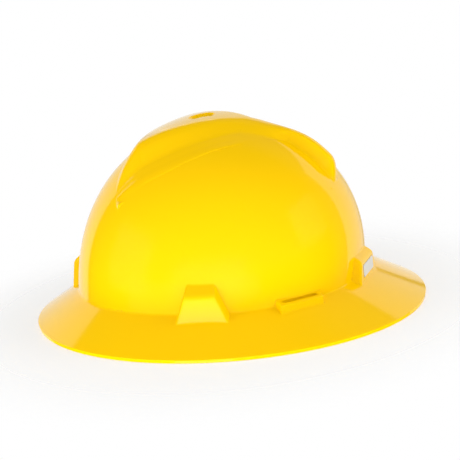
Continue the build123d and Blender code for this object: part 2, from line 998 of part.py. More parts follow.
def knob_faces():
    """X of the knob's open edge and of its outer face."""
    open_edge = layers()[4] - knob_gap
    return open_edge, open_edge - knob_length


def drive_width():
    return pinion_journal_diameter * cos(pi / 6)


def pinion():
    """The gear with its two journals, and a six-sided end that drives the knob."""
    _, front, back, _, shell_back = layers()
    outer = knob_faces()[1]
    outline = [Vector(front, y, z + ratchet_z) for y, z in pinion_outline()]
    gear = Solid.extrude(Face(Wire.make_polygon(outline)), Vector(back - front, 0, 0))
    gear = gear.fuse(cylinder_x(pinion_front_journal_diameter, front, ratchet_face_x - layer_gap))
    gear = gear.fuse(cylinder_x(pinion_journal_diameter, back, shell_back))
    drive_end = outer + knob_wall + screw_head_height
    gear = gear.fuse(hex_bar(drive_width(), shell_back, drive_end))
    bore = cylinder_x(screw_diameter + 2 * running_gap, drive_end - cut_overrun, screw_tip())
    return one_solid(gear.cut(bore))


def screw_tip():
    return knob_faces()[1] + screw_length


def cover_outline(length, half_height, corner):
    return RectangleRounded(length, 2 * half_height, corner)


def cover_height():
    """Half height of the covers."""
    return rack_top() + layer_gap + cover_wall


def cover_screw_places():
    y = ratchet_width / 2 - cover_screw_inset - rack_tip / 2
    return [(y, ratchet_z), (-y, ratchet_z)]


def post_diameter():
    """Diameter of the screw posts that stand between the racks."""
    return 2 * (pinion_radius - addendum) - 2 * layer_gap - backlash


def ratchet_inner_cover():
    """The flat cover on the head's side."""
    plate = Plane.YZ * cover_outline(ratchet_width, cover_height(), cover_height() / 2)
    body = extrude(plate, -cover_wall)
    body = fillet(body.faces().sort_by(Axis.X)[-1].edges(), inner_cover_round)
    body = Pos(ratchet_face_x, 0, ratchet_z) * body
    cover_back = layers()[0]
    journal = pinion_front_journal_diameter + 2 * running_gap
    body = body.cut(cylinder_x(journal, cover_back - cut_overrun, ratchet_face_x + cut_overrun))
    for y, z in cover_screw_places():
        bore = cover_screw_diameter + 2 * running_gap
        hole = cylinder_x(bore, cover_back - cut_overrun, ratchet_face_x, y, z)
        seat = ratchet_face_x - cover_screw_head_height
        counterbore = cover_screw_head_diameter + 2 * running_gap
        head = cylinder_x(counterbore, seat, ratchet_face_x + cut_overrun, y, z)
        body = body.cut(hole, head)
    return one_solid(body)


def ratchet_outer_cover():
    """The dished cover that holds the racks and carries the knob's shaft."""
    cover_back, _, _, floor, back = layers()
    depth = cover_back - back
    plate = Plane.YZ * cover_outline(ratchet_width, cover_height(), cover_height() / 2)
    body = extrude(plate, -depth)
    body = fillet(body.faces().sort_by(Axis.X)[0].edges(), outer_cover_round)
    body = Pos(cover_back, 0, ratchet_z) * body
    channel = rack_top() + layer_gap
    half = ratchet_width / 2 + cut_overrun
    hollow = block(floor, cover_back + cut_overrun, -half, half, ratchet_z - channel, ratchet_z + channel)
    for y, z in cover_screw_places():
        hollow = hollow.cut(cylinder_x(post_diameter(), floor - cut_overrun, cover_back, y, z))
    body = body.cut(hollow)
    journal = pinion_journal_diameter + 2 * running_gap
    body = body.cut(cylinder_x(journal, back - cut_overrun, floor + cut_overrun))
    for y, z in cover_screw_places():
        bore = cover_screw_diameter + 2 * running_gap
        body = body.cut(cylinder_x(bore, back + cover_wall / 2, cover_back + cut_overrun, y, z))
    return one_solid(body)


def cover_screws():
    screws = []
    back = layers()[4]
    for y, z in cover_screw_places():
        seat = ratchet_face_x - cover_screw_head_height
        shank = cylinder_x(cover_screw_diameter, back + cover_wall / 2 + running_gap, seat, y, z)
        head = cylinder_x(cover_screw_head_diameter, seat, ratchet_face_x, y, z)
        floor = ratchet_face_x - cover_screw_head_height / 2
        slot = cylinder_x(cover_screw_diameter / 2, floor, ratchet_face_x, y, z)
        screws.append(one_solid(shank.fuse(head).cut(slot)))
    return screws


def nape_pad():
    x = ratchet_face_x + lining_gap
    half_height = cover_height() - nape_pad_margin
    sketch = cover_outline(ratchet_width - 2 * nape_pad_margin, half_height, half_height / 2)
    body = extrude(Plane.YZ * sketch, nape_pad_thickness)
    body = fillet(body.faces().sort_by(Axis.X)[-1].edges(), nape_pad_round)
    return Pos(x, 0, ratchet_z) * body


def knob_core_diameter():
    return knob_diameter - 2 * grip_thickness


def grip_span():
    """X of the grip's two ends, centred on the knob's wall."""
    open_edge, outer = knob_faces()
    margin = (knob_length - grip_length) / 2
    return open_edge - margin, outer + margin


def knob():
    """The cup-shaped knob with a hub inside and ratchet teeth round its inner wall."""
    open_edge, outer = knob_faces()
    rim = knob_diameter - grip_thickness
    body = cylinder_x(rim, outer, open_edge)
    body = fillet(body.edges().sort_by(Axis.X)[0], knob_wall / 2)
    start, end = grip_span()
    groove = cylinder_x(knob_diameter, start, end).cut(cylinder_x(knob_core_diameter(), start, end))
    body = body.cut(groove)
    hollow = cylinder_x(knob_core_diameter() - 2 * knob_wall, outer + 2 * knob_wall, open_edge + cut_overrun)
    hub = cylinder_x(knob_socket_diameter, outer, open_edge + cut_overrun)
    body = body.cut(hollow.cut(hub))
    body = body.fuse(*detent_teeth())
    drive_end = outer + knob_wall + screw_head_height
    socket = hex_bar(drive_width() + 2 * running_gap, open_edge + cut_overrun, drive_end - running_gap)
    shank = cylinder_x(screw_diameter + 2 * running_gap, outer - cut_overrun, open_edge)
    head = cylinder_x(screw_head_diameter + 2 * running_gap, outer - cut_overrun, outer + screw_head_height)
    return one_solid(body.cut(socket, shank, head))


def detent_teeth():
    """Small saw teeth round the inside of the knob's open edge."""
    open_edge = knob_faces()[0]
    radius = knob_core_diameter() / 2 - knob_wall
    pitch = 2 * pi / detent_count
    teeth = []
    for step in range(detent_count):
        angle = (step + 0.5) * pitch
        corners = (
            (radius + detent_depth, angle - pitch / 4),
            (radius + detent_depth, angle + pitch / 4),
            (radius - detent_depth, angle + pitch / 8),
        )
        outline = [Vector(open_edge, r * sin(a), ratchet_z + r * cos(a)) for r, a in corners]
        face = Face(Wire.make_polygon(outline))
        teeth.append(Solid.extrude(face, Vector(-detent_ring_height - detent_depth, 0, 0)))
    return teeth


def detent_spring():
    """The flat ring on the outer cover whose two noses click over the knob's teeth."""
    back = layers()[4]
    tip = knob_core_diameter() / 2 - knob_wall - detent_depth - detent_gap
    outer = tip - detent_depth
    inner = (outer + knob_socket_diameter / 2) / 2
    ring = cylinder_x(2 * outer, back, back - detent_ring_height)
    for sign in (1, -1):
        half = detent_nose_width / 2
        z_min, z_max = sorted((0, sign * tip))
        nose = block(back - detent_ring_height, back, -half, half, ratchet_z + z_min, ratchet_z + z_max)
        ring = ring.fuse(nose)
    bore = cylinder_x(2 * inner, back + cut_overrun, back - detent_ring_height - cut_overrun)
    return one_solid(ring.cut(bore))


def knob_grip():
    """The soft ring round the knob, with finger hollows."""
    start, end = grip_span()
    ring = cylinder_x(knob_diameter, start - running_gap, end + running_gap)
    for step in range(knob_lobes):
        angle = 2 * pi * step / knob_lobes
        size = lobe_width_share * pi * knob_diameter / knob_lobes
        reach = knob_diameter / 2 + size / 2 - lobe_depth
        y = reach * sin(angle)
        z = ratchet_z + reach * cos(angle)
        ring = ring.cut(cylinder_x(size, start + cut_overrun, end - cut_overrun, y, z))
    core = cylinder_x(knob_core_diameter() + 2 * running_gap, start + cut_overrun, end - cut_overrun)
    return one_solid(ring.cut(core))


def knob_screw():
    outer = knob_faces()[1]
    seat = outer + screw_head_height
    head = cylinder_x(screw_head_diameter, outer, seat)
    shank = cylinder_x(screw_diameter, outer, screw_tip() - running_gap)
    half = screw_slot_width / 2
    arm = screw_slot_reach
    depth = outer + screw_head_height / 2
    cross = block(outer, depth, -half, half, ratchet_z - arm, ratchet_z + arm)
    cross = cross.fuse(block(outer, depth, -arm, arm, ratchet_z - half, ratchet_z + half))
    return one_solid(head.fuse(shank).cut(cross))


def all_nodes():
    nodes = {
        "shell": shell(),
        "front_badge": front_badge(),
        "strap_long": strap_long(),
        "strap_cross": strap_cross(),
        "headband": headband(),
        "sweatband": sweatband(),
        "headband_studs": headband_studs(),
        "tail_left": tail(1),
        "tail_right": tail(-1),
        "rack_left": rack(1),
        "rack_right": rack(-1),
        "pinion": pinion(),
        "ratchet_inner_cover": ratchet_inner_cover(),
        "ratchet_outer_cover": ratchet_outer_cover(),
        "cover_screws": cover_screws(),
        "nape_pad": nape_pad(),
        "detent_spring": detent_spring(),
        "knob": knob(),
        "knob_grip": knob_grip(),
        "knob_screw": knob_screw(),
    }
    nodes.update(keys())
    return nodes


def main():
    os.makedirs("parts", exist_ok=True)
    for name, shape in all_nodes().items():
        solids = shape if isinstance(shape, list) else shape.solids()
        export_step(Compound(children=list(solids)), os.path.join("parts", name + ".step"))


main()
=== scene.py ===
import json
from math import atan2, cos, pi, radians, sin, tan

import bpy
import numpy as np
from mathutils import Matrix, Vector


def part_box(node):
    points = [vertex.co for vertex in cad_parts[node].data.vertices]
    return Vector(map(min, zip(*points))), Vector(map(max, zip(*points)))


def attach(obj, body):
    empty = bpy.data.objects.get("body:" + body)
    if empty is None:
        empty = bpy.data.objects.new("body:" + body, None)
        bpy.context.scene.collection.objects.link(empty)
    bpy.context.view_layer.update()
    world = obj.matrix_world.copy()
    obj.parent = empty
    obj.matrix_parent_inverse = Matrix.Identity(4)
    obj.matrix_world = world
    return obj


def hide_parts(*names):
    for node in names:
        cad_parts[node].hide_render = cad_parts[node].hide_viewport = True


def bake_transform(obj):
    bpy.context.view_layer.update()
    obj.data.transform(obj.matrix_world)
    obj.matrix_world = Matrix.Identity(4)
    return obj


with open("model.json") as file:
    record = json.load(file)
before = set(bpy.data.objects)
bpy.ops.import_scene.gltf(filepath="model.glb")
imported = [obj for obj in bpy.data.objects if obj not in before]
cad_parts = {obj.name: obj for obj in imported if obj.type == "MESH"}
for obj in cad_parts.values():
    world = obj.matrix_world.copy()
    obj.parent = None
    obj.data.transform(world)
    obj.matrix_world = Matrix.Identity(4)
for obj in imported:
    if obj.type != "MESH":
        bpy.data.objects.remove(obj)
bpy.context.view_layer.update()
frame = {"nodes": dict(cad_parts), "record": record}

MM = 0.001

# Brim, in millimetres, as in the part's source
BRIM_LENGTH = 316.0
BRIM_WIDTH = 275.4
BRIM_RISE = 26.0
BRIM_THICKNESS = 2.5
BRIM_EDGE_HEIGHT = 3.2
BRIM_EDGE_WIDTH = 3.2

# Dome
DOME_LENGTH = 230.8
DOME_WIDTH = 204.8
DOME_HEIGHT = 150.8
DOME_SETBACK = 4.5
LEAN_FORWARD = 12.5
LEAN_BACK = 5.6
DOME_POWER = 2.15
FRONT_POWER = 2.35
BACK_POWER = 2.26
SIDE_POWER = 1.97
WALL = 2.4

# Raised crown, with its fan's angles in degrees
CROWN_LIFT = 5.7
NOSE_LIFT = 10.7
NOSE_FROM = 70.0
NOSE_TO = 44.0
CREST_GAIN = 3.5
CORE_X = 6.0
CORE_Z = 52.0
CROWN_REAR = 144.0
CROWN_BACK = 136.0
CROWN_FULL_BACK = 121.5
CROWN_FULL_FRONT = 37.8
CROWN_FRONT = 23.5
WIDE_X = -60.0
FOOT_HALF = 55.0
FOOT_SPREAD = 5.0
FOOT_POINT_X = 77.0
TOP_HALF = 31.5
TOP_POINT_X = 36.0
NOSE_HALF = 7.0
NOSE_TOP_HALF = 2.3
CREASE_GAP = 2.0
SINK = 2.0
WALL_CURVE = 0.35

# Round pit on the crown
PIT_X = -6.0
PIT_RADIUS = 10.0
PIT_DEPTH = 1.8
PIT_SLOPE = 1.2
PIT_OVER_Z = 100.0

# Pockets and ledges: pairs of widths and heights are those at the root and at the face
SIDE_KEY_X = 15.0
POCKET_FOOT_Z = 17.0
LEDGE_ANGLE = 40.0
SIDE_BLOCK = {"depth": 7.0, "foot": (46.0, 44.0), "top": 24.5, "top_z": (47.5, 41.5), "round": 1.2}
FRONT_BLOCK = {"depth": 6.5, "foot": (52.0, 50.0), "top": 34.0, "top_z": (43.5, 39.5), "round": 2.0}
LEDGE_BLOCK = {"depth": 6.0, "foot": (36.5, 36.5), "top": 36.5, "top_z": (30.8, 28.0), "round": 0.8}

# Slots of the pockets and ledges, the badge's seat, and the pockets' feet under the brim
SLOT_SKIN = 1.2
KEY_SLOT_DEPTH = 3.4
KEY_SLOT_WIDTH = 20.4
KEY_SLOT_TOP = 34.7
LEDGE_SLOT_DEPTH = 2.6
LEDGE_SLOT_LENGTH = 29.0
LEDGE_SLOT_FLOOR = 24.8
LEDGE_SLOT_CUT = 8.0
BADGE_SEAT = {"width": 28.2, "height": 9.7, "level": 31.0, "depth": 0.5}
CUT_OVERRUN = 3.0
FOOT_ROOT = 1.6
FOOT_FACE_GAP = 0.4
FOOT_FACE_DROP = 5.2
FOOT_ROOT_DROP = 1.2
FOOT_NARROWER = 1.0

# Rounding of the moulded edges, and the angle in degrees from which an edge stays sharp
CREST_ROUND = 1.2
CROWN_FOOT_ROUND = 1.2
JUNCTION_ROUND = 1.6
POCKET_FOOT_ROUND = 1.0
EDGE_TOP_ROUND = 0.8
EDGE_FOOT_ROUND = 0.6
EDGE_INNER_ROUND = 0.3
SHARP_ANGLE = 38.0

# Rays from the eye, a point inside the dome: how far and how finely they are followed, and the
# angle in radians that they leave free at the top
EYE_Z = 28.0
FARTHEST = 260.0
HALVINGS = 30
TOP_GAP = 0.004

# Limits: the share of the dome's height up to which it has a width, the angle in degrees below
# which a ray can meet the brim, the shares of the brim's width between which its slope is carried
# on, and the least cosine between a ray and the direction of a pocket that it can meet
DOME_TOP_SHARE = 0.999999
BRIM_TOP_ANGLE = 12.0
BRIM_SHARES = (-0.4, 1.2)
BLOCK_FACING = 0.5

# Table of the crown's sections, and its spare room round the crown in degrees and millimetres
CROWN_ANGLES = 261
CROWN_SPARE_FRONT = 6.0
CROWN_SPARE_REAR = 2.0
CROWN_SPARE_SIDE = 8.0

# Grid of the shell's skin, whose rows over the outside lie closer together towards the brim, and
# the turns of the brim edge's corners in degrees from straight up, by way of outwards
COLUMNS = 1080
ROWS_OVER = 560
ROWS_UNDER = 40
ROWS_INSIDE = 160
ROW_POWER = 0.78
EDGE_TOP_TURNS = np.linspace(15, 90, 6)
EDGE_FOOT_TURNS = np.linspace(90, 180, 6)
EDGE_INNER_TURNS = np.linspace(180, 270, 4)

# Soft copies of CAD pieces, in metres, as is all that follows up to the camera
SOFTEN_FACTOR = 0.5
SWEATBAND_VOXEL = 0.0008
SWEATBAND_ROUNDS = 4
BAND_RADIUS = 0.1
BAND_CENTRE_X = -0.005
BAND_STRETCH = 1.25
CHANNEL_DEPTH = 0.0006
SEAM_SHARE = 0.72
SEAM_WIDTH = 0.0007
GROOVE_PITCH = 0.01
GROOVE_WIDTH = 0.0009
CUSHION_VOXEL = 0.0006
CUSHION_ROUNDS = 5
CUSHION_BACK = 0.0008
CUSHION_LINE_PITCH = 0.012
CUSHION_LINE_WIDTH = 0.0008
CUSHION_LINE_DEPTH = 0.0005
TAIL_VOXEL = 0.0005
TAIL_ROUNDS = 1

# Floor, whose shadow keeps its share of strength up to the first radius and is gone at the second
FLOOR_CLEAR = 0.15
FLOOR_GONE = 0.27
FLOOR_SHARE = 0.4
FLOOR_DROP = 0.0002
FLOOR_CORNERS = 96

# World: its strengths, and the shares of +Y between which a brighter wall rises in reflections
SKY_LIGHT = 0.59
SKY_GLOSS = 0.036
WALL_GLOSS = 0.14
WALL_START = 0.25
WALL_FULL = 0.6

# Lamps: the degrees that they span round the part and above it, their radiance, and whether they
# show only as reflections. A lamp's power is LAMP_POWER times its radiance and its area.
LAMP_DISTANCE = 2.2
LAMP_AIM = Vector((0, 0, 0.08))
LAMP_POWER = 4
LAMPS = {
    "key": ((-112, -68), (-10, 12), 2.1, False),
    "fill_front": ((-20, 20), (5, 35), 3.3, False),
    "fill_front_low": ((-60, -20), (-45, -20), 2.7, False),
    "fill_rear": ((-165, -130), (-5, 25), 3.5, False),
    "fill_low": ((-112, -68), (-50, -25), 7.1, False),
    "front_wall": ((42, 86), (-22, 39), 0.56, True),
    "side_wall": ((88, 119), (-24, 38), 0.64, True),
    "rear_wall": ((119, 163), (-24, 36), 0.6, True),
    "top_near": ((108, 130), (30, 45), 0.5, True),
    "low": ((-144, -57), (-18, 0), 0.12, True),
    "boss": ((-110, -80), (-30, -18), 1.55, True),
}

# Camera, in degrees and millimetres, but for a focal length in the photograph's pixels and a far
# limit in metres
CAMERA_AZIMUTH = 19.99
CAMERA_ELEVATION = 15.22
CAMERA_ROLL = 6.40
CAMERA_DISTANCE = 1427.33
CAMERA_TARGET = (6.77, 0, 62.12)
CAMERA_FOCAL = 1792.35
PHOTO_WIDTH = 460
SENSOR_WIDTH = 36.0
FAR_LIMIT = 20.0


# The shell's form, as distances from a point inside it

UP = np.array([0.0, 0.0, 1.0])
EYE = np.array([-DOME_SETBACK, 0.0, EYE_Z])
TOP_ANGLE = pi / 2 - TOP_GAP
HALF_LENGTH = DOME_LENGTH / 2
HALF_WIDTH = DOME_WIDTH / 2
BRIM_FALL = BRIM_RISE - BRIM_EDGE_HEIGHT


def smooth(share):
    """A share from zero to one, eased at both ends."""
    return share * share * (3 - 2 * share)


def smooth_min(first, second, width):
    """The smaller of two values, blended where they differ by less than a width."""
    share = np.clip(0.5 + 0.5 * (second - first) / width, 0, 1)
    return second + (first - second) * share - width * share * (1 - share)


def smooth_max(first, second, width):
    return -smooth_min(-first, -second, width)


def rays(azimuth, elevation):
    """Unit vectors at angles in radians."""
    return np.stack([
        np.cos(elevation) * np.cos(azimuth),
        np.cos(elevation) * np.sin(azimuth),
        np.sin(elevation),
    ], -1)


def inside_dome(x, y, z):
    share = np.clip((z - BRIM_RISE) / (DOME_HEIGHT - BRIM_RISE), 0, DOME_TOP_SHARE)
    centre = -DOME_SETBACK + LEAN_FORWARD * share - LEAN_BACK * share ** 2
    power = np.where(x > centre, FRONT_POWER, BACK_POWER)
    half_x = HALF_LENGTH * np.sqrt(1 - share ** power)
    half_y = HALF_WIDTH * np.sqrt(1 - share ** SIDE_POWER)
    level = (np.abs(x - centre) / half_x) ** DOME_POWER + (np.abs(y) / half_y) ** DOME_POWER
    return (level < 1) & (z < DOME_HEIGHT)


def reach(inside, origin, direction):
    """Distance from a point inside a form to its surface, along each direction."""
    near = np.zeros(direction.shape[:-1])
    far = np.full_like(near, FARTHEST)
    for _ in range(HALVINGS):
        middle = (near + far) / 2
        point = origin + direction * middle[..., None]
        held = inside(point[..., 0], point[..., 1], point[..., 2])
        near = np.where(held, middle, near)
        far = np.where(held, far, middle)
    return near


def taper(x, point_x):
    """The crown's width along x as a share of its full width, down to its point."""
    return 1 - np.clip((x - WIDE_X) / (point_x - WIDE_X), 0, 1) ** 2


def crown_tables():
    """The crown's height over the fan point, for a set of fan angles."""
    angles = np.linspace(CROWN_FRONT - CROWN_SPARE_FRONT, CROWN_REAR + CROWN_SPARE_REAR, CROWN_ANGLES)
    spread = np.radians(angles)
    direction = np.stack([np.cos(spread), 0 * spread, np.sin(spread)], -1)

    def profile(y):
        origin = np.stack([0 * spread + CORE_X, y, 0 * spread + CORE_Z], -1)
        return reach(inside_dome, origin, direction)

    back = np.clip((CROWN_BACK - angles) / (CROWN_BACK - CROWN_FULL_BACK), 0, 1)
    rear = np.clip((angles - CROWN_FULL_BACK) / (CROWN_REAR - CROWN_FULL_BACK), 0, 1)
    front = smooth(np.clip((angles - CROWN_FRONT) / (CROWN_FULL_FRONT - CROWN_FRONT), 0, 1))
    nose = smooth(np.clip((NOSE_FROM - angles) / (NOSE_FROM - NOSE_TO), 0, 1))
    rise = front * (CROWN_LIFT + nose * (NOSE_LIFT - CROWN_LIFT) + SINK)
    middle = profile(0 * spread) + rise * smooth(back) - SINK
    x = CORE_X + middle * np.cos(spread)
    foot = np.maximum(FOOT_HALF * taper(x, FOOT_POINT_X), NOSE_HALF) + rear * FOOT_SPREAD
    top = np.maximum(TOP_HALF * taper(x, TOP_POINT_X), NOSE_TOP_HALF)
    gain = CREST_GAIN * (top / TOP_HALF) ** 2
    top = top + rear * (foot - CREASE_GAP - top)
    high = profile(top) + (rise + gain) * (1 - rear) - SINK
    low = profile(foot)
    return {"angle": angles, "middle": middle, "foot": foot, "top": top, "high": high, "low": low}


CROWN = crown_tables()


def inside_crown(x, y, z):
    """Inside the dome, or the crown on it, whose section is an arc that turns down into two walls."""
    angle = np.degrees(np.arctan2(z - CORE_Z, x - CORE_X))
    section = {name: np.interp(angle, CROWN["angle"], CROWN[name]) for name in CROWN}
    middle, top, foot = section["middle"], section["top"], section["foot"]
    high, low = section["high"], section["low"]
    across = np.abs(y)
    arc = middle - (middle - high) * (across / top) ** 2
    share = (across - top) / (foot - top)
    bowed = share - WALL_CURVE * np.sin(2 * pi * share) / (2 * pi)
    line = smooth_min(arc, high - (high - low) * bowed, CREST_ROUND)
    held = np.hypot(x - CORE_X, z - CORE_Z) < line
    held = held & (angle > CROWN_FRONT) & (angle < CROWN_REAR) & (across < foot + CROWN_SPARE_SIDE)
    return held | inside_dome(x, y, z)


def foot_radius(angle):
    """Distance from the dome's axis to its foot."""
    along = np.abs(np.cos(angle) / HALF_LENGTH) ** DOME_POWER
    across = np.abs(np.sin(angle) / HALF_WIDTH) ** DOME_POWER
    return (along + across) ** (-1 / DOME_POWER)


def foot_place(angle):
    """A point of the dome's foot, with the directions outwards and along the foot there."""
    radius = float(foot_radius(angle))
    x = radius * cos(angle)
    y = radius * sin(angle)
    out = np.array([
        abs(x / HALF_LENGTH) ** (DOME_POWER - 1) / HALF_LENGTH * (1 if x > 0 else -1),
        abs(y / HALF_WIDTH) ** (DOME_POWER - 1) / HALF_WIDTH * (1 if y > 0 else -1),
        0.0,
    ])
    out /= np.linalg.norm(out)
    return np.array([x - DOME_SETBACK, y, 0.0]), out, np.array([-out[1], out[0], 0.0])


def wedge_planes(place, form):
    """Outer planes of a tapering block on the dome's foot: face, top and two sides."""
    origin, out, along = place
    depth = form["depth"]
    root_width, face_width = form["foot"]
    root_z, face_z = form["top_z"]
    planes = [(origin + out * depth, out)]
    planes.append((origin + out * depth + UP * face_z, out * (root_z - face_z) + UP * depth))
    for side in (1, -1):
        foot_root = origin + along * side * root_width / 2 + UP * POCKET_FOOT_Z
        foot_face = origin + out * depth + along * side * face_width / 2 + UP * POCKET_FOOT_Z
        top_face = origin + out * depth + along * side * form["top"] / 2 + UP * face_z
        normal = np.cross(foot_face - foot_root, top_face - foot_root)
        if normal @ along * side < 0:
            normal = -normal
        planes.append((foot_root, normal))
    return [(point, normal / np.linalg.norm(normal)) for point, normal in planes]


def side_angle():
    x = SIDE_KEY_X + DOME_SETBACK
    y = HALF_WIDTH * (1 - (x / HALF_LENGTH) ** DOME_POWER) ** (1 / DOME_POWER)
    return atan2(y, x)


POCKETS = [(0.0, FRONT_BLOCK), (pi, SIDE_BLOCK), (side_angle(), SIDE_BLOCK), (-side_angle(), SIDE_BLOCK)]
LEDGES = [(side * radians(LEDGE_ANGLE), LEDGE_BLOCK) for side in (1, -1)]


def plane_exit(direction, point, normal):
    """Distance from the eye to a plane, or very far where a ray doesn't leave through it."""
    least, never = 1e-6, 1e4
    facing = direction @ normal
    distance = (point - EYE) @ normal
    return np.where(facing > least, distance / np.maximum(facing, least), never)


def block_reach(direction, place, form):
    """Distance from the eye to the outside of a pocket or ledge, and none away from it."""
    planes = wedge_planes(place, form)
    exits = [plane_exit(direction, point, normal) for point, normal in planes]
    block = exits[0]
    for other in exits[1:]:
        block = smooth_min(block, other, form["round"] * 2)
    return np.where(direction @ place[1] > BLOCK_FACING, block, 0)


def brim_radii(azimuth):
    """Distance from the eye's axis to the dome's foot and to the brim's edge."""
    half_x = BRIM_LENGTH / 2
    along = np.cos(azimuth) / half_x
    across = np.sin(azimuth) / (BRIM_WIDTH / 2)
    square = along ** 2 + across ** 2
    shift = DOME_SETBACK / half_x
    lead = along * shift
    outer = (lead + np.sqrt(lead ** 2 + square * (1 - shift ** 2))) / square
    return foot_radius(azimuth), outer


def brim_reach(azimuth, elevation):
    """Distance from the eye to the brim's upper side, carried on past its root and edge, or none."""
    inner, outer = brim_radii(azimuth)
    slope = np.tan(elevation)
    share = (BRIM_RISE - EYE_Z - slope * inner) / (BRIM_FALL + slope * (outer - inner))
    brim = (inner + np.clip(share, *BRIM_SHARES) * (outer - inner)) / np.cos(elevation)
    return np.where(elevation > radians(BRIM_TOP_ANGLE), 0, brim)


def outer_reach(azimuth, elevation, direction):
    """Distance from the eye to the moulded outer surface."""
    dome = reach(inside_dome, EYE, direction)
    crown = reach(inside_crown, EYE, direction)
    body = smooth_max(dome, crown, CROWN_FOOT_ROUND)
    body = smooth_max(body, brim_reach(azimuth, elevation), JUNCTION_ROUND)
    for angle, form in POCKETS + LEDGES:
        body = smooth_max(body, block_reach(direction, foot_place(angle), form), POCKET_FOOT_ROUND)
    return body


# The shell's mesh

def rows_over(azimuth, outer):
    """Rows of points over the outside, from the top down to the brim's edge."""
    lowest = np.arctan2(BRIM_EDGE_HEIGHT - EYE_Z, outer - EDGE_TOP_ROUND)
    share = np.linspace(0, 1, ROWS_OVER)[:, None] ** ROW_POWER
    elevation = TOP_ANGLE + (lowest[None, :] - TOP_ANGLE) * share
    around = np.broadcast_to(azimuth, elevation.shape)
    direction = rays(around, elevation)
    points = EYE + direction * outer_reach(around, elevation, direction)[..., None]
    pit = np.hypot(points[..., 0] - PIT_X, points[..., 1])
    dip = np.clip((PIT_RADIUS - pit) / PIT_SLOPE + 0.5, 0, 1)
    points[..., 2] -= PIT_DEPTH * smooth(dip) * (points[..., 2] > PIT_OVER_Z)
    return list(points)


def rows_under(azimuth, inner, outer):
    """Rows round the brim's edge and along its underside to the dome's mouth."""
    rows = []

    def ring(radius, z):
        points = rays(azimuth, 0 * azimuth) * radius[:, None]
        points[:, 0] -= DOME_SETBACK
        points[:, 2] = z
        rows.append(points)

    def corner(radius, z, rounding, turns):
        """Rings round a corner, at turns in degrees from straight up, by way of outwards."""
        for turn in np.radians(turns):
            ring(radius + rounding * sin(turn), z + rounding * cos(turn))

    foot = outer - BRIM_EDGE_WIDTH
    top_z = BRIM_EDGE_HEIGHT - EDGE_TOP_ROUND
    corner(outer - EDGE_TOP_ROUND, top_z, EDGE_TOP_ROUND, EDGE_TOP_TURNS)
    corner(outer - EDGE_FOOT_ROUND, EDGE_FOOT_ROUND, EDGE_FOOT_ROUND, EDGE_FOOT_TURNS)
    corner(foot + EDGE_INNER_ROUND, EDGE_INNER_ROUND, EDGE_INNER_ROUND, EDGE_INNER_TURNS)
    slope = BRIM_FALL / (outer - inner)
    drop = BRIM_THICKNESS * np.sqrt(1 + slope ** 2)
    for share in np.linspace(0, 1, ROWS_UNDER):
        radius = foot + share * (inner - WALL - foot)
        ring(radius, BRIM_EDGE_HEIGHT + slope * (outer - radius) - drop)
    return rows


def rows_inside(azimuth, radius, mouth_z):
    """Rows up the inside of the dome, from just over its mouth to the top."""
    start = np.arctan2(mouth_z - EYE_Z, radius)
    share = np.linspace(0, 1, ROWS_INSIDE)[1:, None]
    elevation = start[None, :] + (TOP_ANGLE - start[None, :]) * share
    direction = rays(np.broadcast_to(azimuth, elevation.shape), elevation)
    far = reach(inside_dome, EYE, direction) - WALL
    return list(EYE + direction * far[..., None])


def linked(name, data):
    """A new object in the scene."""
    obj = bpy.data.objects.new(name, data)
    bpy.context.scene.collection.objects.link(obj)
    return obj


def mesh_object(name, verts, faces):
    mesh = bpy.data.meshes.new(name)
    mesh.from_pydata(verts, [], faces)
    mesh.update()
    mesh.validate()
    return linked(name, mesh)


def shade_smooth(obj):
    obj.data.polygons.foreach_set("use_smooth", [True] * len(obj.data.polygons))


def shell_skin():
    """The shell's closed skin, before its feet and slots."""
    azimuth = np.linspace(0, 2 * pi, COLUMNS, endpoint=False)
    inner, outer = brim_radii(azimuth)
    rows = rows_over(azimuth, outer) + rows_under(azimuth, inner, outer)
    rows += rows_inside(azimuth, inner - WALL, rows[-1][:, 2])
    verts = [tuple(point) for point in np.array(rows).reshape(-1, 3) * MM]
    index = np.arange(len(verts)).reshape(-1, COLUMNS)
    after = np.roll(index, -1, axis=1)
    faces = np.stack([index[:-1], index[1:], after[1:], after[:-1]], -1).reshape(-1, 4)
    caps = [index[0].tolist(), index[-1][::-1].tolist()]
    return mesh_object("shell_skin", verts, faces.tolist() + caps)


def prism(place, outline, width):
    """Corners and faces of an outline (out, up) drawn across a place's width."""
    origin, out, along = place
    corners = [origin + out * x + UP * z + along * side * width / 2 for side in (-1, 1) for x, z in outline]
    count = len(outline)
    faces = [list(range(count))[::-1], list(range(count, 2 * count))]
    for first in range(count):
        second = (first + 1) % count
        faces.append([first, second, count + second, count + first])
    return corners, faces


def box_outline(x_min, x_max, z_min, z_max):
    return [(x_min, z_min), (x_max, z_min), (x_max, z_max), (x_min, z_max)]


def bake(obj):
    """Makes an object's modifiers part of its mesh."""
    bpy.context.view_layer.update()
    graph = bpy.context.evaluated_depsgraph_get()
    mesh = bpy.data.meshes.new_from_object(obj.evaluated_get(graph))
    obj.modifiers.clear()
    obj.data = mesh


def combine(obj, prisms, operation):
    """Adds prisms to an object or cuts them from it."""
    verts, faces = [], []
    for corners, sides in prisms:
        start = len(verts)
        verts += [tuple(corner * MM) for corner in corners]
        faces += [[start + number for number in side] for side in sides]
    tool = mesh_object("prisms", verts, faces)
    modifier = obj.modifiers.new(operation, "BOOLEAN")
    modifier.operation = operation
    modifier.solver = "MANIFOLD"
    modifier.object = tool
    bake(obj)
    bpy.data.objects.remove(tool)


